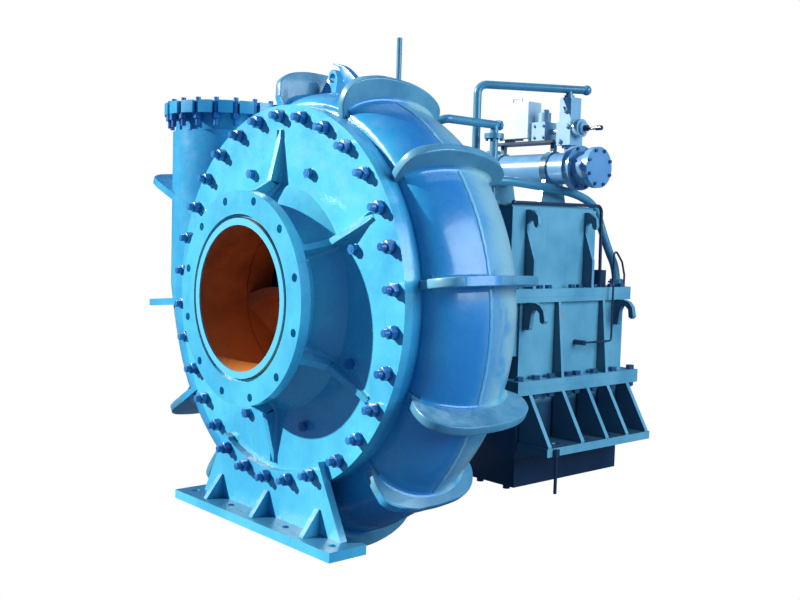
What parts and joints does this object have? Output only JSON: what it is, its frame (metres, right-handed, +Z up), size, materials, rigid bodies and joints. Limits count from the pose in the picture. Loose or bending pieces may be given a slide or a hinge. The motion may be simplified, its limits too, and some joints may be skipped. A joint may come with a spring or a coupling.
{
  "type": "slurry pump",
  "caption": "Horizontal end-suction slurry pump: ribbed volute casing with a vertical side discharge, flanged suction cover, bearing bracket and a gearbox with an oil cooler on top.",
  "frame": {"origin": "centre of the suction flange's front face, on the shaft axis", "axes": "-Y points out of the suction flange, +Y runs along the shaft to the gearbox, +X is to the right seen from the suction side, +Z is up"},
  "size_m": [1.7691, 1.782, 1.6774],
  "materials": {
    "blue_casting": "gloss",
    "teal_housing": "satin",
    "dark_fasteners": "satin",
    "machined_steel": "machined",
    "wear_iron": "rough",
    "primed_liner": "satin",
    "packing": "matt",
    "lantern_brass": "machined",
    "dark_sump": "satin",
    "zinc_pipe": "satin",
    "pale_box": "gloss"
  },
  "bodies": {
    "frame": {"back_cover": "blue_casting", "back_studs": "dark_fasteners", "back_wear_plate": "wear_iron", "bearing_bracket": "blue_casting", "bleed_tube": "dark_sump", "bracket_bolts": "dark_fasteners", "cooler_bolts": "dark_fasteners", "cooler_brackets": "teal_housing", "cooler_heads": "teal_housing", "cooler_pipe": "teal_housing", "cooler_shell": "teal_housing", "cooler_tubes": "lantern_brass", "cover_jack_screws": "dark_fasteners", "cover_nuts": "dark_fasteners", "cover_studs": "dark_fasteners", "discharge_bolts": "dark_fasteners", "drain_rod": "dark_sump", "filter_block": "teal_housing", "front_bearing": "machined_steel", "front_bearing_cap": "teal_housing", "front_cover": "blue_casting", "front_foot": "blue_casting", "front_wear_plate": "wear_iron", "gear_rail": "dark_sump", "gearbox_bracket_bolts": "dark_fasteners", "gearbox_lower": "teal_housing", "gearbox_middle": "teal_housing", "gearbox_upper": "teal_housing", "gland_bolts": "dark_fasteners", "gland_water_pipe": "teal_housing", "input_seal_cap": "teal_housing", "lantern_ring": "lantern_brass", "low_flange_bolts": "dark_fasteners", "oil_box": "pale_box", "oil_sump": "dark_sump", "packing_gland": "blue_casting", "packing_rings": "packing", "pinion_bearings": "machined_steel", "pipe_stand": "teal_housing", "probe_tube": "zinc_pipe", "rear_bearing": "machined_steel", "return_pipe": "teal_housing", "spill_tube": "dark_sump", "split_bolts": "dark_fasteners", "stuffing_box": "blue_casting", "suction_liner": "primed_liner", "sump_bolts": "dark_fasteners", "supply_pipe": "teal_housing", "valve_block": "teal_housing", "vent_pipe": "zinc_pipe", "volute_casing": "blue_casting", "wall_plugs": "zinc_pipe", "wear_plate_bolts": "dark_fasteners"},
    "rotor": {"impeller": "wear_iron", "pump_shaft": "machined_steel", "shaft_sleeve": "machined_steel", "drive_gear": "machined_steel"},
    "pinion": {"pinion_shaft": "machined_steel", "input_coupling": "teal_housing"},
    "lever": {"valve_lever": "dark_sump"}
  },
  "joints": [
    {"name": "rotor_spin", "type": "hinge", "parent": "frame", "child": "rotor", "pos_m": [0, 0.852, 0], "axis": [0, 1, 0], "continuous": true},
    {"name": "pinion_spin", "type": "hinge", "parent": "frame", "child": "pinion", "pos_m": [0, 1.352, -0.325], "axis": [0, 1, 0], "continuous": true},
    {"name": "valve_lever_turn", "type": "hinge", "parent": "frame", "child": "lever", "pos_m": [0.25, 1.352, 0.632], "axis": [1, 0, 0], "range_deg": [0, 90]}
  ],
  "couplings": [
    {"joint": "pinion_spin", "follows": "rotor_spin", "ratio": -1.3636}
  ]
}
